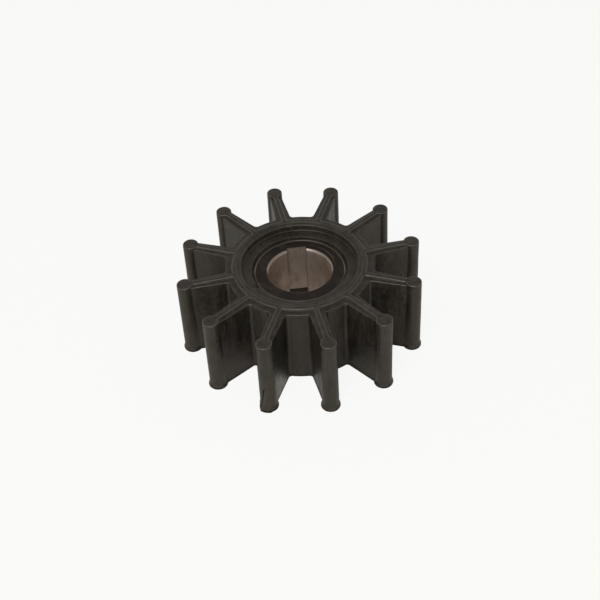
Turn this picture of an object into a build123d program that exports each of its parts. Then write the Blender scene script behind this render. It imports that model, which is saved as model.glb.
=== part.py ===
from build123d import *

import os

# Flexible pump impeller: a one-piece rubber rotor moulded round a keyed metal insert.
# Millimetres. The bore axis is Z, and the plain end of the rotor stands on Z = 0.

# Rotor
vane_count = 12
first_vane_angle = 15.0  # centres a pocket between vanes on each of the X and Y axes
tip_diameter = 63.5  # over the beads
rotor_width = 22.4
hub_diameter = 37.9

# Vanes and their tip beads
vane_tip_thickness = 3.0
vane_root_thickness = 4.0
root_fillet = 1.0
bead_diameter = 4.1
bead_edge_break = 0.2

# Sealing rib that stands proud of the ribbed end
rib_height = 0.9
rib_width = 1.45
rib_fillet = 0.4
hub_rib_diameter = 34.8
rib_edge_break = 0.2
inner_ledge_drop = 0.4  # from the rib's crest to the ledge inside it

# Mould land round the foot of every wall, at the plain end
land_height = 0.8
wall_land = 0.15
bead_land = 0.4

# Recess in the ribbed end, with the insert at its bottom
recess_diameter = 30.0
recess_depth = 2.0
relief_width = 0.3  # gap between the rubber and the rim of the insert
relief_depth = 0.5  # below the insert's end face

# Recess in the plain end
foot_recess_diameter = 30.0
foot_recess_depth = 1.0
foot_bore_diameter = 21.0

# Metal insert
insert_diameter = 23.9
insert_setback = 2.7  # below the ribbed end
insert_foot_setback = 4.3  # above the plain end
rim_chamfer = 0.3
bore_diameter = 16.0
bore_chamfer = 0.45
keyway_width = 5.0
keyway_depth = 1.0  # past the crown of the bore
keyway_angle = 98.0

# Worked out from the sizes above
bead_radius = bead_diameter / 2
bead_circle_radius = tip_diameter / 2 - bead_radius
hub_radius = hub_diameter / 2
hub_rib_radius = hub_rib_diameter / 2
insert_radius = insert_diameter / 2
bore_radius = bore_diameter / 2
ledge_level = rotor_width - rib_height
insert_length = rotor_width - insert_setback - insert_foot_setback
tolerance = 0.01  # for finding edges and corners
standing = (Align.CENTER, Align.CENTER, Align.MIN)
hanging = (Align.CENTER, Align.CENTER, Align.MAX)


def tapered_vane(growth):
    """Plan of one vane along +X, from the axis out to its bead's centre, grown on each side."""
    root = vane_root_thickness / 2 + growth
    tip = vane_tip_thickness / 2 + growth
    taper = (root - tip) / (bead_circle_radius - hub_radius)
    centre = root + taper * hub_radius
    corners = [(0, -centre), (bead_circle_radius, -tip), (bead_circle_radius, tip), (0, centre)]
    Polygon(*corners, align=None)


def corners_on(sketch, radius):
    """Corners of a sketch that lie on this circle, where the vanes leave the hub."""
    return sketch.vertices().filter_by(
        lambda corner: abs(Vector(corner.X, corner.Y).length - radius) < tolerance
    )


def rims(part, radius, level):
    """Round edges of a part that have this radius and lie at this level."""
    round_edges = part.edges().filter_by(GeomType.CIRCLE)
    level_edges = round_edges.filter_by_position(Axis.Z, level - tolerance, level + tolerance)
    return level_edges.filter_by(lambda edge: abs(edge.radius - radius) < tolerance)


# One tip bead, with the mould land round its foot
with BuildPart() as tip_bead:
    Cylinder(bead_radius, rotor_width, align=standing)
    chamfer(rims(tip_bead, bead_radius, rotor_width), bead_edge_break)
    Cylinder(bead_radius + bead_land, land_height, align=standing)

# Rubber rotor
with BuildPart() as impeller_body:
    # Hub and vanes, up to the ledge beside the rib
    with BuildSketch() as walls:
        Circle(hub_radius)
        with PolarLocations(0, vane_count, start_angle=first_vane_angle):
            tapered_vane(0)
        fillet(corners_on(walls, hub_radius), root_fillet)
    extrude(amount=ledge_level)

    # Mould land: the same plan a little larger, low down
    with BuildSketch() as land:
        Circle(hub_radius + wall_land)
        with PolarLocations(0, vane_count, start_angle=first_vane_angle):
            tapered_vane(wall_land)
        fillet(corners_on(land, hub_radius + wall_land), root_fillet - wall_land)
    extrude(amount=land_height)

    # Sealing rib: a ring on the hub with one branch along each vane
    with BuildSketch(Plane.XY.offset(ledge_level)) as rib:
        Circle(hub_rib_radius)
        with PolarLocations(0, vane_count, start_angle=first_vane_angle):
            Rectangle(bead_circle_radius, rib_width, align=(Align.MIN, Align.CENTER))
        fillet(corners_on(rib, hub_rib_radius), rib_fillet)
    extrude(amount=rib_height)
    rib_crest = impeller_body.faces().sort_by(Axis.Z).last
    chamfer(rib_crest.edges(), rib_edge_break)

    with PolarLocations(bead_circle_radius, vane_count, start_angle=first_vane_angle):
        add(tip_bead.part)

    # Ledge inside the rib, the recess below it, and the relief round the insert
    with Locations((0, 0, rotor_width)):
        Cylinder(hub_rib_radius - rib_width, inner_ledge_drop, align=hanging, mode=Mode.SUBTRACT)
        Cylinder(recess_diameter / 2, recess_depth, align=hanging, mode=Mode.SUBTRACT)
        relief_reach = insert_setback + relief_depth
        Cylinder(insert_radius + relief_width, relief_reach, align=hanging, mode=Mode.SUBTRACT)

    # Recess and bore in the plain end
    Cylinder(foot_recess_diameter / 2, foot_recess_depth, align=standing, mode=Mode.SUBTRACT)
    Cylinder(foot_bore_diameter / 2, rotor_width, align=standing, mode=Mode.SUBTRACT)

    # Seat of the insert
    with Locations((0, 0, insert_foot_setback)):
        Cylinder(insert_radius, rotor_width, align=standing, mode=Mode.SUBTRACT)

# Keyed metal insert
with BuildPart() as hub_insert:
    with BuildSketch(Plane.XY.offset(insert_foot_setback)):
        Circle(insert_radius)
        Circle(bore_radius, mode=Mode.SUBTRACT)
    extrude(amount=insert_length)
    insert_top = insert_foot_setback + insert_length
    chamfer(rims(hub_insert, insert_radius, insert_top), rim_chamfer)
    chamfer(rims(hub_insert, bore_radius, insert_top), bore_chamfer)
    chamfer(rims(hub_insert, bore_radius, insert_foot_setback), bore_chamfer)

    # Keyway, through the whole length
    with BuildSketch(Plane.XY.offset(insert_foot_setback)):
        keyway_reach = bore_radius + keyway_depth
        Rectangle(keyway_reach, keyway_width, rotation=keyway_angle, align=(Align.MIN, Align.CENTER))
    extrude(amount=insert_length, mode=Mode.SUBTRACT)

impeller_body.part.label = "impeller_body"
hub_insert.part.label = "hub_insert"

os.makedirs("parts", exist_ok=True)
export_step(impeller_body.part, "parts/impeller_body.step")
export_step(hub_insert.part, "parts/hub_insert.step")
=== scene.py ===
import math

import bmesh
import bpy
from mathutils import Matrix, Vector, noise


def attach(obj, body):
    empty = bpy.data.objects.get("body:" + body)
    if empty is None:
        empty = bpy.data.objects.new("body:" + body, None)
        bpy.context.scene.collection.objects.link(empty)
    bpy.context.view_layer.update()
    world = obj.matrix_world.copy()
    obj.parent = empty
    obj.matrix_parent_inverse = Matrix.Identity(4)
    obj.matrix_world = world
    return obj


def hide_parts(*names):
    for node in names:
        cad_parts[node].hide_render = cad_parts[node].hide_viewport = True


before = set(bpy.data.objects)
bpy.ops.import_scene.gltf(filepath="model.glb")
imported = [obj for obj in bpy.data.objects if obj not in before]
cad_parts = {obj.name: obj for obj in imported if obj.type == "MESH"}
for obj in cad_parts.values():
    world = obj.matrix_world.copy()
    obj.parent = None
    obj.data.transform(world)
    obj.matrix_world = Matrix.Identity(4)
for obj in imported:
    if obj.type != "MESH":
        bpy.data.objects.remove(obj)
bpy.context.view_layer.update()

mm = 0.001  # lengths below are in millimetres and angles in degrees, unless a note says otherwise


def mix(a, b, t):
    return a + (b - a) * t


def smooth(t):
    t = max(0.0, min(1.0, t))
    return t * t * (3 - 2 * t)


def bump(x, middle, reach):  # 1 in the middle, eased to 0 at this reach on each side
    return 1 - smooth(abs(x - middle) / reach)


def lookUp(table, x):  # value at x in a table of x and value, eased from one row to the next
    if x <= table[0][0]:
        return table[0][1]
    for (x0, a), (x1, b) in zip(table, table[1:]):
        if x <= x1:
            return mix(a, b, smooth((x - x0) / (x1 - x0)))
    return table[-1][1]


def waver(point, scale, seed):  # slow noise, about -1 to 1
    return noise.noise(Vector(point) * scale + Vector((seed, seed * 0.37, -seed)))


class Surface:  # gathers points, their marks and the faces between them
    def __init__(self, *marks):
        self.verts, self.faces = [], []
        self.marks = {name: [] for name in marks}

    def point(self, place, **marks):
        self.verts.append(tuple(place))
        for name, values in self.marks.items():
            values.append(marks.get(name, 0.0))
        return len(self.verts) - 1

    def band(self, low, high):  # quads between two closed rows of the same length
        for i in range(len(low)):
            j = (i + 1) % len(low)
            self.faces.append((low[i], low[j], high[j], high[i]))


def addPiece(name, surface, material, replaced):
    mesh = bpy.data.meshes.new(name)
    mesh.from_pydata([(x * mm, y * mm, z * mm) for x, y, z in surface.verts], [], surface.faces)
    mesh.validate()
    for label, values in surface.marks.items():
        layer = mesh.attributes.new(label, "FLOAT", "POINT")
        layer.data.foreach_set("value", values)
    piece = bpy.data.objects.new(name, mesh)
    bpy.context.scene.collection.objects.link(piece)
    mesh.materials.append(material)
    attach(piece, "root")
    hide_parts(replaced)
    return piece


def shadeSmooth(piece):
    mesh = piece.data
    mesh.polygons.foreach_set("use_smooth", [True] * len(mesh.polygons))
    print(piece.name, "has", len(mesh.polygons), "faces")


rotor = {
    "vanes": 12,
    "firstVane": 15.0,
    "width": 22.4,
    "beadCircle": 29.72,
    "beadTop": 2.03,  # radius of a bead at each end
    "beadFoot": 2.15,
    "hub": 18.95,
    "rootHalf": 2.0,  # half the vane's thickness where it leaves the hub
    "tipHalf": 1.5,
    "rootFillet": 1.0,
    "beadFillet": 0.35,
    "beadFilletLoss": 0.2,  # the most that the land at the foot takes from it
    "ribHub": 17.4,
    "ribHalf": 0.725,
    "ribFillet": 0.4,
    "ribBeadFillet": 0.3,
    "ribDrop": 0.5,  # from the rib's crest to the ledge beside it
    "ribRound": 0.34,
    "ribFootRound": 0.1,
    "ledgeRound": 0.3,
    "beadRound": 0.26,
    "ribInside": 16.1,
    "ribInsideRound": 0.3,
    "ribInsideFoot": (0.1, 0.02),  # how far in and up the bevel at its foot reaches
    "innerLedgeDrop": 0.22,
    "recessLip": 0.3,  # rounding of the recess's top edge
    "recess": 15.0,
    "recessDepth": 2.0,
    "recessFillet": 0.25,
    "relief": 12.25,
    "reliefDepth": 3.2,
    "reliefLip": 0.15,
    "seat": 11.95,
    "seatFoot": 4.3,
    "footBore": 10.5,
    "footRecess": 15.0,
    "footRecessDepth": 1.0,
    "footLip": 0.15,  # rounding of both edges round the recess in the plain end
    "landHeight": 0.62,
    "landBlend": 1.45,  # height at which the land has faded into the wall
    "wallLand": 0.15,
    "beadLand": 0.32,
    "footRound": 0.42,
    "landDirt": (0.85, 0.25, 0.0),  # painted contact shadow above the underside, row by row; the last one stays
    "ledgeWorn": (0.1, 0.3, 0.2, 0.0),  # wear and painted highlight up the ledge's rounded edge, row by row
    "shoulderWorn": 0.2,
    "crestWorn": (0.6, 0.9, 1.0, 0.8, 0.3),  # wear and painted highlight up the rib's rounded crest, row by row
    "lipWorn": 0.35,
    "stray": 0.035,  # how far the moulded walls stray
    "landStray": (0.05, 0.03),  # and the land at each bead's foot, slowly and finely
    "landStrayReach": 3.0,  # how far in from a bead's middle that starts
    # How finely the mesh is divided: along half a vane, up its height, and across a vane's end.
    "stations": {"hub": 8, "root": 7, "side": 18, "beadFillet": 4, "bead": 15},
    "levels": {"foot": 5, "land": 5, "wall": 15, "ledgeRound": 4, "ledge": 3, "ribFoot": 2, "crest": 5},
    "strips": 4,
    "climb": 4,  # stations over which a row's height goes from the wall's to the bead's
}
stations, levels = rotor["stations"], rotor["levels"]
halfCount = sum(stations.values()) + 1
rootEnd = stations["hub"] + stations["root"]  # first station on the vane's side
beadStart = rootEnd + stations["side"] + stations["beadFillet"]  # first station on the bead
perSector = 2 * halfCount - 2  # from the middle of one pocket to the middle of the next


def halfOutline(plan):
    # Points of half a vane and half a pocket, from the middle of the pocket to the bead's tip.
    reach = rotor["beadCircle"]
    slope = (plan["tipHalf"] - plan["rootHalf"]) / (reach - rotor["hub"])
    along = Vector((1, slope)).normalized()
    out = Vector((-along.y, along.x))
    start = Vector((rotor["hub"], plan["rootHalf"]))

    def alongTo(middle, far, side):  # distance along the side at which the fillet's centre is this far
        b = middle.dot(along)
        return -b + side * math.sqrt(b * b - middle.length_squared + far * far)

    middle = start + out * plan["rootFillet"]
    far = plan["hub"] + plan["rootFillet"]
    rootCentre = middle + along * alongTo(middle, far, 1)
    hubTangent = rootCentre * (plan["hub"] / far)

    bead = Vector((reach, 0))
    middle = start + out * plan["beadFillet"] - bead
    far = plan["bead"] + plan["beadFillet"]
    beadCentre = bead + middle + along * alongTo(middle, far, -1)
    beadTangent = bead + (beadCentre - bead) * (plan["bead"] / far)

    points = []
    hubEnd = math.atan2(hubTangent.y, hubTangent.x)
    for i in range(stations["hub"]):
        angle = mix(math.pi / rotor["vanes"], hubEnd, i / stations["hub"])
        points.append(Vector((math.cos(angle), math.sin(angle))) * plan["hub"])

    def arc(centre, radius, first, last, count):
        a = math.atan2(first.y - centre.y, first.x - centre.x)
        b = math.atan2(last.y - centre.y, last.x - centre.x)
        turn = (b - a + math.pi) % (2 * math.pi) - math.pi
        for i in range(count):
            angle = a + turn * i / count
            points.append(centre + Vector((math.cos(angle), math.sin(angle))) * radius)

    sideStart = rootCentre - out * plan["rootFillet"]
    sideEnd = beadCentre - out * plan["beadFillet"]
    tip = bead + Vector((plan["bead"], 0))
    arc(rootCentre, plan["rootFillet"], hubTangent, sideStart, stations["root"])
    for i in range(stations["side"]):
        points.append(sideStart.lerp(sideEnd, i / stations["side"]))
    arc(beadCentre, plan["beadFillet"], sideEnd, beadTangent, stations["beadFillet"])
    arc(bead, plan["bead"], beadTangent, tip, stations["bead"])
    return points + [tip]


def wallPlan(growth, bead):
    return {
        "hub": rotor["hub"] + growth,
        "rootHalf": rotor["rootHalf"] + growth,
        "tipHalf": rotor["tipHalf"] + growth,
        "rootFillet": rotor["rootFillet"] - growth,
        "beadFillet": rotor["beadFillet"] - min(growth, rotor["beadFilletLoss"]),
        "bead": bead,
    }


def ribPlan(growth, bead):
    return {
        "hub": rotor["ribHub"] + growth,
        "rootHalf": rotor["ribHalf"] + growth,
        "tipHalf": rotor["ribHalf"] + growth,
        "rootFillet": rotor["ribFillet"] - growth,
        "beadFillet": rotor["ribBeadFillet"] - growth,
        "bead": bead,
    }


def wallLayers():
    # The outside's rows, from the flat underside up to the rib's crest: the plan, the height
    # of the walls and of the beads, their edge wear and painted highlight, how much of the land
    # is left, and the painted contact shadow.
    layers = []

    def layer(plan, wallZ, beadZ, wallEdge=0.0, beadEdge=0.0, land=0.0, dirt=0.0):
        layers.append((plan, wallZ, beadZ, wallEdge, beadEdge, land, dirt))

    # the foot's rounded underside carries painted contact shadow
    for i in range(levels["foot"] + 1):
        a = math.pi / 2 * i / levels["foot"]
        back = rotor["footRound"] * (1 - math.sin(a))
        z = rotor["footRound"] * (1 - math.cos(a))
        plan = wallPlan(rotor["wallLand"] - back, rotor["beadFoot"] + rotor["beadLand"] - back)
        layer(plan, z, z, land=1.0, dirt=1.0)
    low, high = rotor["landHeight"], rotor["landBlend"]
    dirt = rotor["landDirt"]
    for i in range(levels["land"] + 1):
        keep = 1 - smooth(i / levels["land"])
        z = mix(low, high, i / levels["land"])
        bead = mix(rotor["beadFoot"], rotor["beadTop"], z / rotor["width"])
        plan = wallPlan(rotor["wallLand"] * keep, bead + rotor["beadLand"] * keep)
        layer(plan, z, z, land=keep, dirt=dirt[min(i, len(dirt) - 1)])

    ledge = rotor["width"] - rotor["ribDrop"]
    top = ledge - rotor["ledgeRound"]
    for i in range(1, levels["wall"] + 1):
        z = mix(high, top, i / levels["wall"])
        layer(wallPlan(0, mix(rotor["beadFoot"], rotor["beadTop"], z / rotor["width"])), z, z)

    crest = rotor["width"]
    bead = rotor["beadTop"]
    beadShoulder = crest - rotor["beadRound"]
    rise = (beadShoulder - top) / (levels["ledgeRound"] + levels["ledge"] + levels["ribFoot"] + 1)
    beadZ = top
    for i in range(1, levels["ledgeRound"] + 1):  # the ledge's rounded outer edge
        a = math.pi / 2 * i / levels["ledgeRound"]
        back = rotor["ledgeRound"] * (1 - math.cos(a))
        beadZ += rise
        z = top + rotor["ledgeRound"] * math.sin(a)
        layer(wallPlan(-back, bead), z, beadZ, wallEdge=rotor["ledgeWorn"][i - 1])
    edgePlan = wallPlan(-rotor["ledgeRound"], bead)
    footPlan = ribPlan(rotor["ribFootRound"], bead)
    for i in range(1, levels["ledge"] + 1):
        beadZ += rise
        t = i / levels["ledge"]
        plan = {key: mix(edgePlan[key], footPlan[key], t) for key in edgePlan}
        layer(plan, ledge, beadZ)
    for i in range(1, levels["ribFoot"] + 1):
        a = math.pi / 2 * i / levels["ribFoot"]
        beadZ += rise
        grow = rotor["ribFootRound"] * (1 - math.sin(a))
        z = ledge + rotor["ribFootRound"] * (1 - math.cos(a))
        layer(ribPlan(grow, bead), z, beadZ)
    shoulder = crest - rotor["ribRound"]
    layer(ribPlan(0, bead), shoulder, beadShoulder, rotor["shoulderWorn"], rotor["shoulderWorn"])
    for i in range(1, levels["crest"] + 1):  # the rib's rounded crest and the bead's rounded rim
        a = math.pi / 2 * i / levels["crest"]
        back = rotor["ribRound"] * (1 - math.cos(a))
        beadBack = rotor["beadRound"] * (1 - math.cos(a))
        z = shoulder + rotor["ribRound"] * math.sin(a)
        beadZ = beadShoulder + rotor["beadRound"] * math.sin(a)
        edge = rotor["crestWorn"][i - 1]
        layer(ribPlan(-back, bead - beadBack), z, beadZ, edge, edge)
    return layers


torn = {  # the foot of one bead, squared off and split by a knock
    "vane": 8,
    "reach": (
        (-125, 2.47), (-102, 2.68), (-80, 2.28), (-50, 2.52), (-34, 2.66),
        (-10, 2.46), (8, 2.42), (22, 2.47), (38, 2.3), (58, 2.2),
    ),  # radius by angle
    "square": ((-118, 0.0), (-100, 1.0), (38, 1.0), (62, 0.0)),  # how sharp the corner is, by angle
    "fade": (0.8, 2.4),  # heights between which the knock's swelling fades
    "splitTop": (-2, 8.6),  # angle round the bead and height
    "splitFoot": (-40, 1.2),
    "splitHalf": 0.16,
    "splitDepth": 0.34,
    "splitStart": 0.12,  # share of the split's length, from its top, over which it deepens
    "splitEnd": (1.05, 0.15),  # share at which it starts to fade, and over how much more
    # How far the split wanders, the stretch of the noise by angle, its scale and its seed.
    "splitWander": ((0.07, 0.03, 1.4, 2.0), (0.03, 0.1, 5.0, 4.0)),
    "flapLift": 0.13,
    "flapRise": 0.2,  # distance from the split to the flap's full lift
    "flapFall": (0.5, 1.1),  # distance at which it starts to come down, and over how much
    "flapWorn": 0.45,
    "ragged": 0.10,
    "raggedTop": 1.8,
    "angles": (-100, 40),  # the part of the bead that the split and the rough foot are cut into
    "top": 9.6,
    "outside": 3.2,  # radius
    "inside": 1.75,
    "finerInside": (1.6, 1.8),  # least radius where the mesh is made finer, once and once more
    "finerAlong": (-0.15, 1.3),  # and the second time only here along the split and beside it
    "finerAside": 0.75,
}
swollen = {  # the top of another bead, out of round, with one scuffed edge
    "vane": 10,
    "growth": (
        (-125, 0.0), (-105, 0.19), (-36, 0.33), (0, 0.27), (36, 0.08),
        (60, 0.09), (74, 0.15), (88, 0.0), (104, -0.17), (122, 0.0),
    ),  # of the radius, by angle
    "heights": (12.0, 19.5),  # between which the swelling grows
    "scuff": (97, 14),  # the angle in its middle, and how far it reaches to each side
    "scuffHeights": (13.0, 15.0),
}
scuffed = {  # painted reflection: a pale patch low on one vane's side, for the floor's glare at a grazing angle
    "vane": 8,
    "side": 1,
    "inner": (20.0, 22.0),  # distances from the axis over which it starts
    "heights": ((20.0, 1.0), (22.0, 3.0), (25.0, 6.6), (27.4, 8.5)),  # its top, by that distance
}


def beadPlace(x, y):  # radius and angle about the bead's middle, with the angle from straight out
    return math.hypot(x - rotor["beadCircle"], y), math.degrees(math.atan2(y, x - rotor["beadCircle"]))


def damaged(x, y, z, vane):
    # Moves a bead's point to where the damage has left it, and says how scuffed it is.
    radius, angle = beadPlace(x, y)
    scuff = 0.0
    wanted = radius
    if vane == torn["vane"] and z < torn["fade"][1]:
        low, high = torn["fade"]
        keep = lookUp(torn["square"], angle) * (1 - smooth((z - low) / (high - low)))
        wanted = mix(radius, lookUp(torn["reach"], angle), keep)
    if vane == swollen["vane"]:
        low, high = swollen["heights"]
        wanted += lookUp(swollen["growth"], angle) * smooth((z - low) / (high - low))
        low, high = swollen["scuffHeights"]
        scuff = bump(angle, *swollen["scuff"]) * smooth((z - low) / (high - low))
    share = wanted / radius
    return rotor["beadCircle"] + (x - rotor["beadCircle"]) * share, y * share, scuff


def strayed(x, y, z, land):
    # The moulding isn't perfect: walls stray a little, and the land at the foot is ragged.
    radius = math.hypot(x, y)
    away = Vector((x, y)) / radius
    near = waver((x, y, z * 0.45), scale=0.33, seed=3.0) * rotor["stray"]
    aside = waver((x, y, z * 0.3), scale=0.21, seed=9.0) * rotor["stray"]
    if land > 0 and radius > rotor["beadCircle"] - rotor["landStrayReach"]:
        slow, fine = rotor["landStray"]
        ragged = slow * waver((x, y, z * 2), scale=1.7, seed=5.0)
        near += land * (ragged + fine * waver((x, y, z), scale=4.5, seed=7.0))
    return x + away.x * near - away.y * aside, y + away.y * near + away.x * aside


def wallRow(surface, layer):
    plan, wallZ, beadZ, wallEdge, beadEdge, land, dirt = layer
    half = halfOutline(plan)
    row = []
    for vane in range(rotor["vanes"]):
        turn = math.radians(rotor["firstVane"] + 360 / rotor["vanes"] * vane)
        for side in (-1, 1):
            order = range(halfCount) if side < 0 else range(halfCount - 2, 0, -1)
            for i in order:
                lift = smooth((i - beadStart) / rotor["climb"])
                z = mix(wallZ, beadZ, lift)
                edge = mix(wallEdge, beadEdge, lift)
                chalk = 0.0
                x, y = half[i].x, half[i].y * side
                if i > beadStart:
                    x, y, scuff = damaged(x, y, z, vane)
                    edge = max(edge, scuff)
                # painted reflection: a pale patch low on one vane's side
                elif i > rootEnd and vane == scuffed["vane"] and side == scuffed["side"]:
                    start, full = scuffed["inner"]
                    chalk = smooth(lookUp(scuffed["heights"], x) - z)
                    chalk *= smooth((x - start) / (full - start))
                turnedX = x * math.cos(turn) - y * math.sin(turn)
                turnedY = x * math.sin(turn) + y * math.cos(turn)
                x, y = strayed(turnedX, turnedY, z, land)
                row.append(surface.point((x, y, z), edgeMark=edge, footMark=dirt, scuffMark=chalk))
    return row


def closeEnd(surface, row, z, innerRadius, upward):
    # Closes a flat end: strips across each vane and bead, and a ring in to innerRadius.
    # Returns the ring's inner row and the angle of each of its points.
    def add(face):
        surface.faces.append(face if upward else face[::-1])

    strips = rotor["strips"]
    outer = []
    for vane in range(rotor["vanes"]):
        base = vane * perSector
        left = [row[base + i] for i in range(halfCount)]
        right = [row[(base + perSector - i) % len(row)] for i in range(halfCount)]
        rungs = []
        for i in range(rootEnd, halfCount - 1):
            a, b = surface.verts[left[i]], surface.verts[right[i]]
            places = [[mix(p, q, j / strips) for p, q in zip(a, b)] for j in range(1, strips)]
            rungs.append([left[i]] + [surface.point(place) for place in places] + [right[i]])
        for low, high in zip(rungs, rungs[1:]):
            for j in range(strips):
                add((low[j], high[j], high[j + 1], low[j + 1]))
        for j in range(strips):
            add((rungs[-1][j], left[-1], rungs[-1][j + 1]))
        outer += left[:rootEnd] + rungs[0] + right[1:rootEnd][::-1]
    angles = [math.atan2(surface.verts[index][1], surface.verts[index][0]) for index in outer]
    ring = [surface.point((innerRadius * math.cos(a), innerRadius * math.sin(a), z)) for a in angles]
    for i in range(len(outer)):
        j = (i + 1) % len(outer)
        add((outer[i], outer[j], ring[j], ring[i]))
    return ring, angles


def corner(r0, z0, r1, z1, count=4):
    # Rounds a profile's corner from (r0, z0) to (r1, z1). The sharp corner was at (r1, z0) where
    # the profile turns down, and at (r0, z1) where count is negative.
    r, z = (r1, z0) if count > 0 else (r0, z1)
    start, sharp, end = Vector((r0, z0)), Vector((r, z)), Vector((r1, z1))
    places = [i / abs(count) for i in range(1, abs(count) + 1)]
    return [tuple(start.lerp(sharp, t).lerp(sharp.lerp(end, t), t)) for t in places]


def cavityProfile():
    # Radius, height and edge wear down the inside of the rotor, from the rib's crest to the foot.
    p = rotor
    top = p["width"]
    inner = top - p["innerLedgeDrop"]
    floor = top - p["recessDepth"]
    bottom = top - p["reliefDepth"]
    f = p["recessFillet"]
    lip = p["recessLip"]
    inward, up = p["ribInsideFoot"]
    rows = corner(p["ribInside"] + p["ribInsideRound"], top, p["ribInside"], inner + up)
    rows += [(p["ribInside"] - inward, inner), (mix(p["ribInside"], p["recess"], 0.5), inner)]
    rows.append((p["recess"] + lip, inner))
    worn = len(rows)
    rows += corner(p["recess"] + lip, inner, p["recess"], inner - lip)
    wornEnd = len(rows)
    rows += [(p["recess"], mix(inner - lip, floor + f, 0.5)), (p["recess"], floor + f)]
    rows += corner(p["recess"], floor + f, p["recess"] - f, floor, -4)
    lip = p["reliefLip"]
    rows += [(mix(p["recess"] - f, p["relief"] + lip, t), floor) for t in (0.25, 0.5, 0.75, 1.0)]
    rows += corner(p["relief"] + lip, floor, p["relief"], floor - lip, 3)
    rows += [(p["relief"], mix(floor, bottom, 0.6)), (p["relief"], bottom), (p["seat"], bottom)]
    rows += [(p["seat"], mix(bottom, p["seatFoot"], t)) for t in (0.25, 0.5, 0.75, 1.0)]
    rows.append((p["footBore"], p["seatFoot"]))
    edge = p["footRecessDepth"]
    lip = p["footLip"]
    rows += [(p["footBore"], mix(p["seatFoot"], edge + lip, t)) for t in (0.5, 1.0)]
    rows += corner(p["footBore"], edge + lip, p["footBore"] + lip, edge, -2)
    rows += [(mix(p["footBore"] + lip, p["footRecess"], t), edge) for t in (0.5, 1.0)]
    rows.append((p["footRecess"], lip))
    return [(r, z, p["lipWorn"] if worn <= i < wornEnd else 0.0) for i, (r, z) in enumerate(rows)]


nick = {  # in the lip round the insert
    "angle": -147.5,
    "reach": 4.5,
    "cut": 0.42,  # how far the lip is moved out, and down
    "depth": 0.35,
    "around": (1.0, 0.6),  # how far out from the lip, and down, the nick is felt
}


def nicked(radius, angle, z):
    share = bump((math.degrees(angle) - nick["angle"] + 180) % 360 - 180, 0, nick["reach"])
    outward, down = nick["around"]
    floor = rotor["width"] - rotor["recessDepth"]
    if share == 0 or not rotor["relief"] <= radius < rotor["relief"] + outward or z < floor - down:
        return radius, z
    return radius + nick["cut"] * share, z - nick["depth"] * share


def refine(bed, wanted, cuts):  # divides the faces whose middles are wanted
    faces = [face for face in bed.faces if wanted(face.calc_center_median() / mm)]
    edges = list(dict.fromkeys(edge for face in faces for edge in face.edges))
    bmesh.ops.subdivide_edges(bed, edges=edges, cuts=cuts, use_grid_fill=True)


def fromSplit(angle, z):  # distance from the split, on its left when negative, and place along it
    (a0, z0), (a1, z1) = torn["splitTop"], torn["splitFoot"]
    scale = math.radians(1) * rotor["beadFoot"]
    run = Vector(((a1 - a0) * scale, z1 - z0))
    there = Vector(((angle - a0) * scale, z - z0))
    along = there.dot(run) / run.length_squared
    return there.cross(run) / run.length, along


def tearFoot(piece):
    # Cuts the split into the torn foot, lifts the flap beside it and roughens the broken corner.
    turn = math.radians(rotor["firstVane"] + 360 / rotor["vanes"] * torn["vane"])
    back = Matrix.Rotation(-turn, 3, "Z")
    bed = bmesh.new()
    bed.from_mesh(piece.data)

    def place(point):
        local = back @ point
        radius, angle = beadPlace(local.x, local.y)
        return radius, angle, local

    def nearFoot(point, inside=torn["finerInside"][0]):
        radius, angle, local = place(point)
        first, last = torn["angles"]
        return inside < radius < torn["outside"] and local.z < torn["top"] and first < angle < last

    def nearSplit(point):
        radius, angle, local = place(point)
        aside, along = fromSplit(angle, local.z)
        first, last = torn["finerAlong"]
        if not torn["finerInside"][1] < radius < torn["outside"]:
            return False
        return first < along < last and abs(aside) < torn["finerAside"]

    refine(bed, nearFoot, cuts=2)
    refine(bed, nearSplit, cuts=2)
    edgeLayer = bed.verts.layers.float["edgeMark"]
    for vert in bed.verts:
        if not nearFoot(vert.co / mm, torn["inside"]):
            continue
        radius, angle, local = place(vert.co / mm)
        aside, along = fromSplit(angle, local.z)
        for reach, stretch, scale, seed in torn["splitWander"]:
            aside += reach * waver((angle * stretch, local.z, 0), scale, seed)
        fade, over = torn["splitEnd"]
        inLine = smooth(along / torn["splitStart"]) * (1 - smooth((along - fade) / over))
        cut = inLine * (1 - smooth(abs(aside) / (2 * torn["splitHalf"]))) * torn["splitDepth"]
        down, over = torn["flapFall"]
        flap = inLine * smooth(-aside / torn["flapRise"]) * (1 - smooth((-aside - down) / over))
        flap *= torn["flapLift"]
        rough = torn["ragged"] * (1 - smooth(local.z / torn["raggedTop"]))
        rough *= waver((local.x, local.y, local.z * 1.3), scale=2.6, seed=6.0)
        outward = Vector((local.x - rotor["beadCircle"], local.y, 0)).normalized()
        moved = local + outward * (flap + rough - cut)
        vert.co = back.transposed() @ moved * mm
        vert[edgeLayer] = max(vert[edgeLayer], flap / torn["flapLift"] * torn["flapWorn"])
    bed.to_mesh(piece.data)
    bed.free()


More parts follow.
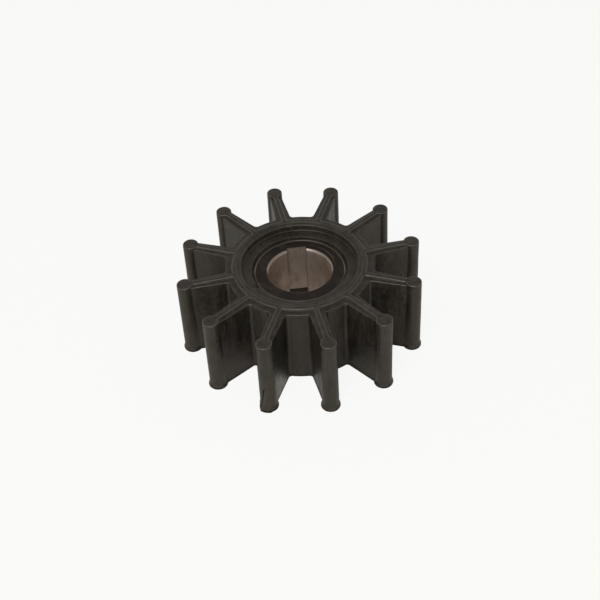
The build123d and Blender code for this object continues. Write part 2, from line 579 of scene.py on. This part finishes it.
def makeRotor(material):
    surface = Surface("edgeMark", "footMark", "scuffMark")
    rows = [wallRow(surface, layer) for layer in wallLayers()]
    for low, high in zip(rows, rows[1:]):
        surface.band(low, high)
    crestRadius = rotor["ribInside"] + rotor["ribInsideRound"]
    previous, topAngles = closeEnd(surface, rows[-1], rotor["width"], crestRadius, True)
    footRadius = rotor["footRecess"] + rotor["footLip"]
    footRow, footAngles = closeEnd(surface, rows[0], 0.0, footRadius, False)
    profile = cavityProfile()
    for step, (radius, z, edge) in enumerate(profile):
        t = smooth(step / (len(profile) - 1))  # the angles ease from the crest's to the foot's
        row = []
        for a, b in zip(topAngles, footAngles):
            angle = a + ((b - a + math.pi) % (2 * math.pi) - math.pi) * t
            r, h = nicked(radius, angle, z)
            row.append(surface.point((r * math.cos(angle), r * math.sin(angle), h), edgeMark=edge))
        surface.band(previous, row)
        previous = row
    surface.band(previous, footRow)
    piece = addPiece("rubberRotor", surface, material, "impeller_body")
    tearFoot(piece)
    shadeSmooth(piece)


insert = {
    "outside": 11.94,
    "top": 19.7,
    "foot": 4.3,
    "rimChamfer": 0.42,
    "bore": 8.0,
    "boreChamfer": 0.45,
    "keyHalf": 2.5,
    "keyFloor": 9.0,
    "keyAngle": 98.0,
    "cornerRound": 0.1,
    "arcSteps": 120,
    "sideSteps": 4,
    "floorSteps": 10,
    "scoring": ((-115, 9.75), (-85, 9.2), (-65, 9.6), (-46, 9.9), (-25, 9.75)),  # a painted highlight line on the face
    "scoringRadius": 9.6,  # about where that line runs
    "scoringRows": ((0.16, 0.0), (0.03, 0.55), (-0.12, 0.0)),  # distance out from it, and how much painted highlight
    "scoringSeen": (-58, 38),  # the angle in its middle, and how far it reaches to each side
    "frontFade": (0.6, 2.0),  # painted shade over the edges, as dark film: more of it towards -Y
    "keyShade": (0.85, 0.25),  # painted shadow, as film in the keyway's corner, at the top and at the foot
    "keyShadeAt": (3, 6),  # points past the arc, and how far it reaches to each side
}


def keyedLoop(radius, grow=0.0):
    # The bore's outline at this radius, with the keyway along +X: arc, side, floor, side.
    p = insert
    half, floor, soft = p["keyHalf"] + grow, p["keyFloor"] + grow, p["cornerRound"]
    opening = math.asin((half + soft) / radius)
    points = []
    for i in range(p["arcSteps"] + 1):
        angle = mix(opening, 2 * math.pi - opening, i / p["arcSteps"])
        points.append(Vector((radius * math.cos(angle), radius * math.sin(angle))))
    sharp = Vector((math.sqrt(radius * radius - half * half), -half))
    start, side = points[-1], Vector((sharp.x + soft, -half))
    rounded = [start.lerp(sharp, t).lerp(sharp.lerp(side, t), t) for t in (1 / 3, 2 / 3, 1)]
    points += rounded
    sideShares = [i / p["sideSteps"] for i in range(1, p["sideSteps"] + 1)]
    floorShares = [i / p["floorSteps"] for i in range(1, p["floorSteps"] + 1)]
    points += [Vector((mix(side.x, floor, t), -half)) for t in sideShares]
    points += [Vector((floor, mix(-half, half, t))) for t in floorShares]
    points += [Vector((mix(floor, side.x, t), half)) for t in sideShares]
    points += [Vector((point.x, -point.y)) for point in rounded[1::-1]]
    return points


def makeInsert(material):
    p = insert
    surface = Surface("edgeMark", "filmMark")
    turn = Matrix.Rotation(math.radians(p["keyAngle"]), 2)
    angles = [math.atan2(point.y, point.x) for point in keyedLoop(p["bore"])]

    def turned(angle):  # in degrees, -180 to 180
        return (math.degrees(angle) + 180) % 360 - 180

    def addRow(points, z, edge, film, front, keyFilm=None):  # painted shade towards -Y, as dark film over the edges
        row = []
        for i, point in enumerate(points):
            x, y = turn @ point
            inKey = keyFilm is not None and i > p["arcSteps"]
            # painted shade: edges towards -Y lose their painted highlight and take dark film
            level, slope = p["frontFade"]
            left = front * smooth(level - slope * y / math.hypot(x, y))
            worn = 0.0 if inKey else edge * (1 - left)
            cover = max(film, left, keyFilm if inKey else 0.0)
            if keyFilm is not None:  # painted shadow, as film in the corner where one side of the keyway meets the bore
                deep = (p["top"] - z) / (p["top"] - p["foot"])
                past, reach = p["keyShadeAt"]
                cover = max(cover, bump(i, p["arcSteps"] + past, reach) * mix(*p["keyShade"], deep))
            row.append(surface.point((x, y, z), edgeMark=worn, filmMark=cover))
        rows.append(row)

    def roundRow(radius, z, edge=0.0, film=0.0, front=0.0):
        addRow([Vector((math.cos(a), math.sin(a))) * radius for a in angles], z, edge, film, front)

    def keyedRow(radius, z, edge=0.0, film=0.0, front=0.0, keyFilm=0.0, grow=0.0):
        addRow(keyedLoop(radius, grow), z, edge, film, front, keyFilm)

    def scoredRow(offset, edge):  # a painted highlight line on the face, away from the keyway
        points = []
        for a in angles:
            radius = lookUp(p["scoring"], turned(a)) + offset
            points.append(Vector((math.cos(a), math.sin(a))) * radius)
        addRow(points, p["top"], edge, film=1.0, front=0.0)
        for index, a in zip(rows[-1], angles):
            surface.marks["edgeMark"][index] = edge * bump(turned(a), *p["scoringSeen"])

    rows = []
    top, foot, c = p["top"], p["foot"], p["boreChamfer"]
    rim, wide = p["outside"] - p["rimChamfer"], p["bore"] + c
    # Up the outside, in over the face and down the bore. Close rows on both sides keep an edge crisp.
    roundRow(p["outside"], foot)
    roundRow(p["outside"], mix(foot, top, 0.5))
    roundRow(p["outside"], top - p["rimChamfer"] - 0.03, film=1.0)
    # the rim's bevel: worn bare edge, also painted lighter as a highlight
    roundRow(p["outside"] - 0.02, top - p["rimChamfer"] + 0.02, edge=0.6, front=0.9)
    roundRow(rim + 0.04, top - 0.03, edge=1.0, front=0.9)
    roundRow(rim - 0.03, top, edge=0.8, film=0.3, front=0.9)
    roundRow(rim - 0.18, top, film=1.0)
    roundRow(mix(rim, p["scoringRadius"], 0.5), top, film=1.0)
    for offset, edge in p["scoringRows"]:
        scoredRow(offset, edge)
    keyedRow(wide + 0.14, top, film=1.0, keyFilm=1.0, grow=0.12)
    # the bore's chamfer: worn edge, also painted lighter as a highlight
    keyedRow(wide + 0.05, top, edge=0.5, film=0.6, front=0.9, keyFilm=1.0, grow=0.04)
    keyedRow(wide - 0.02, top - 0.03, edge=0.7, film=0.4, front=0.9, keyFilm=0.95)
    keyedRow(p["bore"] + 0.03, top - c + 0.02, edge=0.3, film=0.4, front=0.8, keyFilm=0.5)
    keyedRow(p["bore"], top - c - 0.08, film=0.1, keyFilm=0.2)
    for t in (0.2, 0.4, 0.6, 0.8):
        keyedRow(p["bore"], mix(top - c, foot + c, t))
    keyedRow(p["bore"], foot + c + 0.4)
    # painted shade, as film at the keyway's foot, for the shadow beyond the insert's end
    keyedRow(p["bore"], foot + c + 0.15, keyFilm=1.0)
    keyedRow(p["bore"] + 0.03, foot + c - 0.02, edge=0.6, keyFilm=1.0)
    keyedRow(wide, foot, edge=0.5, keyFilm=1.0)
    for low, high in zip(rows, rows[1:]):
        surface.band(low, high)
    surface.band(rows[-1], rows[0])
    shadeSmooth(addPiece("boreInsert", surface, material, "hub_insert"))


def newGroup(name, inputs, outputs):
    group = bpy.data.node_groups.new(name, "ShaderNodeTree")
    for label, kind, value in inputs:
        socket = group.interface.new_socket(label, in_out="INPUT", socket_type="NodeSocket" + kind)
        socket.default_value = value
    for label, kind in outputs:
        group.interface.new_socket(label, in_out="OUTPUT", socket_type="NodeSocket" + kind)
    start = group.nodes.new("NodeGroupInput")
    end = group.nodes.new("NodeGroupOutput")
    return group, start.outputs, end.inputs


def setSocket(tree, socket, value):
    if isinstance(value, bpy.types.NodeSocket):
        tree.links.new(value, socket)
    else:
        socket.default_value = value


def addNode(tree, kind, values=None, **settings):
    node = tree.nodes.new("ShaderNode" + kind)
    for key, value in settings.items():
        setattr(node, key, value)
    for key, value in (values or {}).items():
        setSocket(tree, node.inputs[key], value)
    return node


def calc(tree, operation, *values, clamp=False):
    node = addNode(tree, "Math", dict(enumerate(values)), operation=operation, use_clamp=clamp)
    return node.outputs[0]


def ramp(tree, value, low, high, start=0.0, end=1.0):
    sockets = {"Value": value, "From Min": low, "From Max": high, "To Min": start, "To Max": end}
    return addNode(tree, "MapRange", sockets).outputs[0]


def blendColors(tree, amount, a, b):
    return addNode(tree, "Mix", {0: amount, 6: a, 7: b}, data_type="RGBA").outputs[2]


def makeGrainGroup():
    # Fine grain for bumps, and slower blotches for colour. Scales are in spots per metre.
    scales = [("Scale", "Float", 3000.0), ("Blotch Scale", "Float", 250.0)]
    inputs = scales + [("Stretch", "Vector", (1, 1, 1))]
    outputs = [("Height", "Float"), ("Blotch", "Float")]
    group, given, result = newGroup("surfaceGrain", inputs, outputs)
    place = {0: addNode(group, "TexCoord").outputs["Object"], 1: given["Stretch"]}
    spread = addNode(group, "VectorMath", place, operation="MULTIPLY").outputs[0]
    for scale, detail, output in (("Scale", 4.0, "Height"), ("Blotch Scale", 3.0, "Blotch")):
        spots = {"Vector": spread, "Scale": given[scale], "Detail": detail, "Roughness": 0.62}
        group.links.new(addNode(group, "TexNoise", spots).outputs[0], result[output])
    return group


def makeWearGroup():
    # Mask of worn edges and of the highlights painted on them: the piece's own edge mark, broken up by
    # noise.
    inputs = [("Amount", "Float", 1.0), ("Break Up", "Float", 0.5), ("Scale", "Float", 900.0)]
    group, given, result = newGroup("edgeWear", inputs, [("Mask", "Float")])
    mark = readMark(group, "edgeMark")
    place = addNode(group, "TexCoord").outputs["Object"]
    spots = {"Vector": place, "Scale": given["Scale"], "Detail": 3.0}
    patch = calc(group, "SUBTRACT", addNode(group, "TexNoise", spots).outputs[0], 0.5)
    kept = calc(group, "MULTIPLY_ADD", patch, given["Break Up"], 1.0)
    worn = calc(group, "MULTIPLY", calc(group, "MULTIPLY", mark, kept), given["Amount"], clamp=True)
    group.links.new(worn, result["Mask"])
    return group


def placeGroup(tree, group, values):
    node = tree.nodes.new("ShaderNodeGroup")
    node.node_tree = group
    for key, value in values.items():
        node.inputs[key].default_value = value
    return node.outputs


def readMark(tree, name):  # a mark that the piece's points carry
    return addNode(tree, "Attribute", attribute_name=name).outputs["Fac"]


def broken(tree, mark, spots, limits):  # the mark, broken up by noise
    return calc(tree, "MULTIPLY", mark, ramp(tree, spots, *limits), clamp=True)


def newMaterial(name):
    material = bpy.data.materials.new(name)
    material.use_nodes = True
    tree = material.node_tree
    return material, tree, tree.nodes["Principled BSDF"]


rubberLook = {
    "base": (0.0076, 0.0063, 0.0047, 1),
    "bloom": (0.033, 0.0286, 0.0228, 1),  # the pale film that moulded rubber carries
    # worn edges, and highlight painted on rounded edges
    "worn": (0.050, 0.0455, 0.0395, 1),
    "chalk": (0.34, 0.32, 0.275, 1),  # of the painted reflection patch
    "dirt": (0.0015, 0.0012, 0.0009, 1),  # painted contact shadow, in the corner where each foot meets the bench
    "tint": (1.0, 0.89, 0.76, 1),  # of the sheen
    "specular": 0.56,
    "skin": {"Scale": 5200.0, "Blotch Scale": 210.0},
    "streaks": {"Scale": 1500.0, "Blotch Scale": 520.0, "Stretch": (1.0, 1.0, 0.14)},
    "speckle": {"Scale": 2600.0, "Blotch Scale": 1250.0, "Stretch": (1.0, 1.0, 0.6)},
    "rubbed": {"Amount": 0.85, "Break Up": 1.1, "Scale": 700.0},
    # Each of these is the range of the noise, and what it gives at the two ends.
    "skinBloom": (0.36, 0.68, 0.0, 0.38),
    "streakBloom": (0.42, 0.68, 0.0, 0.42),
    "speckleBloom": (0.40, 0.68, 0.0, 0.40),
    "chalkBroken": (0.36, 0.56, 0.45, 1.0),
    "dirtBroken": (0.3, 0.5, 0.75, 1.0),
    "roughness": (0.38, 0.62, 0.30, 0.52),
    "dirtRoughness": 0.7,  # added where the painted contact shadow lies
    "speckleDepth": 3.0,  # set against the skin's grain
    "bump": {"Strength": 0.5, "Distance": 0.00006},  # metres
}


def makeRubber(grain, wear):
    look = rubberLook
    material, tree, shader = newMaterial("mouldedRubber")
    skin = placeGroup(tree, grain, look["skin"])
    streaks = placeGroup(tree, grain, look["streaks"])
    speckle = placeGroup(tree, grain, look["speckle"])
    rubbed = placeGroup(tree, wear, look["rubbed"])
    haze = ramp(tree, skin["Blotch"], *look["skinBloom"])
    lines = ramp(tree, streaks["Blotch"], *look["streakBloom"])
    spots = ramp(tree, speckle["Blotch"], *look["speckleBloom"])
    film = calc(tree, "ADD", calc(tree, "ADD", haze, lines), spots, clamp=True)
    # painted reflection of the floor, low on one vane's side
    chalk = broken(tree, readMark(tree, "scuffMark"), streaks["Blotch"], look["chalkBroken"])
    # painted contact shadow along each foot's underside, near black and rougher
    dirt = broken(tree, readMark(tree, "footMark"), streaks["Blotch"], look["dirtBroken"])
    color = blendColors(tree, film, look["base"], look["bloom"])
    # worn edges, and painted highlight on rounded edges
    color = blendColors(tree, rubbed["Mask"], color, look["worn"])
    color = blendColors(tree, chalk, color, look["chalk"])
    setSocket(tree, shader.inputs["Base Color"], blendColors(tree, dirt, color, look["dirt"]))
    half = calc(tree, "MULTIPLY", streaks["Blotch"], 0.5)
    patchy = calc(tree, "MULTIPLY_ADD", speckle["Blotch"], 0.5, half)
    rough = ramp(tree, patchy, *look["roughness"])
    rough = calc(tree, "MULTIPLY_ADD", dirt, look["dirtRoughness"], rough, clamp=True)
    setSocket(tree, shader.inputs["Roughness"], rough)
    shader.inputs["Specular IOR Level"].default_value = look["specular"]
    shader.inputs["Specular Tint"].default_value = look["tint"]
    relief = calc(tree, "MULTIPLY_ADD", speckle["Blotch"], look["speckleDepth"], skin["Height"])
    dents = addNode(tree, "Bump", {"Height": relief, **look["bump"]})
    setSocket(tree, shader.inputs["Normal"], dents.outputs[0])
    return material


metalLook = {
    "bare": (0.55, 0.455, 0.385, 1),
    "stain": (0.40, 0.318, 0.265, 1),
    "film": (0.0095, 0.0066, 0.0052, 1),  # dark bonding film left on the end faces, also laid on as painted shade
    # worn edges, and highlight painted on the rim and the chamfer
    "worn": (0.32, 0.27, 0.23, 1),
    "tint": (1.0, 0.82, 0.68, 1),  # of the sheen
    "specular": 0.35,
    "skin": {"Scale": 4200.0, "Blotch Scale": 330.0},
    "drawn": {"Scale": 3000.0, "Blotch Scale": 900.0, "Stretch": (1.0, 1.0, 0.15)},
    "rubbed": {"Amount": 0.9, "Break Up": 1.0, "Scale": 1100.0},
    # Each of these is the range of the noise, and what it gives at the two ends.
    "filmBroken": (0.25, 0.5, 0.955, 1.0),
    "stainBlotch": (0.4, 0.65, 0.0, 1.0),
    "stainDrawn": (0.3, 0.6, 0.0, 1.0),
    "roughness": (0.3, 0.7, 0.36, 0.52),
    "metallic": (0.90, 0.15),  # bare, and under the film
    "bump": {"Strength": 0.14, "Distance": 0.0001},  # metres
}


def makeMetal(grain, wear):
    look = metalLook
    material, tree, shader = newMaterial("turnedBronze")
    skin = placeGroup(tree, grain, look["skin"])
    drawn = placeGroup(tree, grain, look["drawn"])
    rubbed = placeGroup(tree, wear, look["rubbed"])
    # the film mark is dark film on the faces, and painted shade on edges towards -Y and in the keyway
    film = broken(tree, readMark(tree, "filmMark"), skin["Blotch"], look["filmBroken"])
    blotches = ramp(tree, skin["Blotch"], *look["stainBlotch"])
    stain = calc(tree, "MULTIPLY", blotches, ramp(tree, drawn["Blotch"], *look["stainDrawn"]))
    color = blendColors(tree, stain, look["bare"], look["stain"])
    color = blendColors(tree, film, color, look["film"])
    # worn edges, and painted highlight on the rim and the chamfer
    color = blendColors(tree, rubbed["Mask"], color, look["worn"])
    setSocket(tree, shader.inputs["Base Color"], color)
    covered = calc(tree, "MULTIPLY", film, calc(tree, "SUBTRACT", 1.0, rubbed["Mask"]))
    setSocket(tree, shader.inputs["Metallic"], ramp(tree, covered, 0.0, 1.0, *look["metallic"]))
    setSocket(tree, shader.inputs["Roughness"], ramp(tree, skin["Blotch"], *look["roughness"]))
    shader.inputs["Specular IOR Level"].default_value = look["specular"]
    shader.inputs["Specular Tint"].default_value = look["tint"]
    dents = addNode(tree, "Bump", {"Height": skin["Height"], **look["bump"]})
    setSocket(tree, shader.inputs["Normal"], dents.outputs[0])
    return material


studio = {
    "floorSize": 3.0,  # metres
    "floorColor": (0.62, 0.605, 0.565, 1),
    "floorRoughness": 0.9,
    "backdrop": (1.0, 1.0, 0.985, 1),
    "glow": (0.90, 0.12),  # the white background's share, to the camera and in reflections
    "ceiling": (0.28, 0.275, 0.265, 1),
    "wallTop": (0.29, 0.54),  # sines of the angles up between which the wall fades to the ceiling
}


def makeFloor():
    mesh = bpy.data.meshes.new("floor")
    half = studio["floorSize"] / 2
    corners = [(-half, -half, 0), (half, -half, 0), (half, half, 0), (-half, half, 0)]
    mesh.from_pydata(corners, [], [(0, 1, 2, 3)])
    floor = bpy.data.objects.new("floor", mesh)
    bpy.context.scene.collection.objects.link(floor)
    material, tree, shader = newMaterial("paleFloor")
    shader.inputs["Base Color"].default_value = studio["floorColor"]
    shader.inputs["Roughness"].default_value = studio["floorRoughness"]
    shader.inputs["Specular IOR Level"].default_value = 0.0
    glow = addNode(tree, "Emission", {"Color": studio["backdrop"], "Strength": 1.0})
    rays = addNode(tree, "LightPath").outputs
    seen, mirrored = studio["glow"]
    reflected = calc(tree, "MAXIMUM", rays["Is Glossy Ray"], rays["Is Transmission Ray"])
    reflected = calc(tree, "MULTIPLY", reflected, mirrored)
    share = calc(tree, "MULTIPLY", rays["Is Camera Ray"], seen)
    share = calc(tree, "MAXIMUM", share, reflected)
    both = addNode(tree, "MixShader", {0: share, 1: shader.outputs[0], 2: glow.outputs[0]})
    tree.links.new(both.outputs[0], tree.nodes["Material Output"].inputs[0])
    mesh.materials.append(material)


def makeWorld():  # white walls that fade to a dim ceiling, and plain white for the camera
    world = bpy.data.worlds.new("softStudio")
    bpy.context.scene.world = world
    world.use_nodes = True
    tree = world.node_tree
    tree.nodes.clear()
    direction = addNode(tree, "TexCoord").outputs["Generated"]
    height = addNode(tree, "SeparateXYZ", {0: direction}).outputs["Z"]
    above = ramp(tree, height, *studio["wallTop"])
    color = blendColors(tree, above, studio["backdrop"], studio["ceiling"])
    camera = addNode(tree, "LightPath").outputs["Is Camera Ray"]
    color = blendColors(tree, camera, color, studio["backdrop"])
    sky = addNode(tree, "Background", {"Color": color, "Strength": 1.0})
    tree.links.new(sky.outputs[0], addNode(tree, "OutputWorld").inputs[0])


lamps = {
    "overCamera": {"from": (-0.12, -0.50, 0.74), "size": 0.45, "power": 4.8},  # metres and watts
}


def makeLamps():
    for name, lamp in lamps.items():
        data = bpy.data.lights.new(name, "AREA")
        data.shape = "DISK"
        data.size = lamp["size"]
        data.energy = lamp["power"]
        light = bpy.data.objects.new(name, data)
        place = Vector(lamp["from"])
        light.location = place
        light.rotation_euler = (-place).to_track_quat("-Z", "Y").to_euler()
        bpy.context.scene.collection.objects.link(light)


cameraFit = {
    "azimuth": -86.1665,  # where the camera stands, degrees round from +X
    "elevation": 43.2506,
    "roll": -3.3230,
    "distance": 296.066,
    "aimHeight": 11.2135,
    "focalPixels": 1131.708,
    "offset": (1.2955, -5.999),  # pixels right and down
    "picture": 600,
}


def makeCamera():
    c = cameraFit
    data = bpy.data.cameras.new("camera")
    camera = bpy.data.objects.new("camera", data)
    bpy.context.scene.collection.objects.link(camera)
    bpy.context.scene.camera = camera
    around, height, roll = (math.radians(c[key]) for key in ("azimuth", "elevation", "roll"))
    outward = Vector((math.cos(around), math.sin(around), 0))
    back = outward * math.cos(height) + Vector((0, 0, math.sin(height)))
    right = Vector((-math.sin(around), math.cos(around), 0))
    up = back.cross(right)
    level = right * math.cos(roll) + up * math.sin(roll)
    upright = up * math.cos(roll) - right * math.sin(roll)
    place = Vector((0, 0, c["aimHeight"] * mm)) + back * c["distance"] * mm
    turn = Matrix((level, upright, back)).transposed().to_4x4()
    camera.matrix_world = Matrix.Translation(place) @ turn
    data.sensor_width = 36
    data.lens = c["focalPixels"] / c["picture"] * data.sensor_width
    data.shift_x = -c["offset"][0] / c["picture"]
    data.shift_y = c["offset"][1] / c["picture"]
    data.clip_start, data.clip_end = 0.01, 10


grain = makeGrainGroup()
wear = makeWearGroup()
rubber = makeRubber(grain, wear)
bronze = makeMetal(grain, wear)
print("materials ready")
makeRotor(rubber)
makeInsert(bronze)
makeFloor()
makeWorld()
makeLamps()
makeCamera()
bpy.context.scene.view_settings.view_transform = "Standard"
print("stage, light and camera ready")
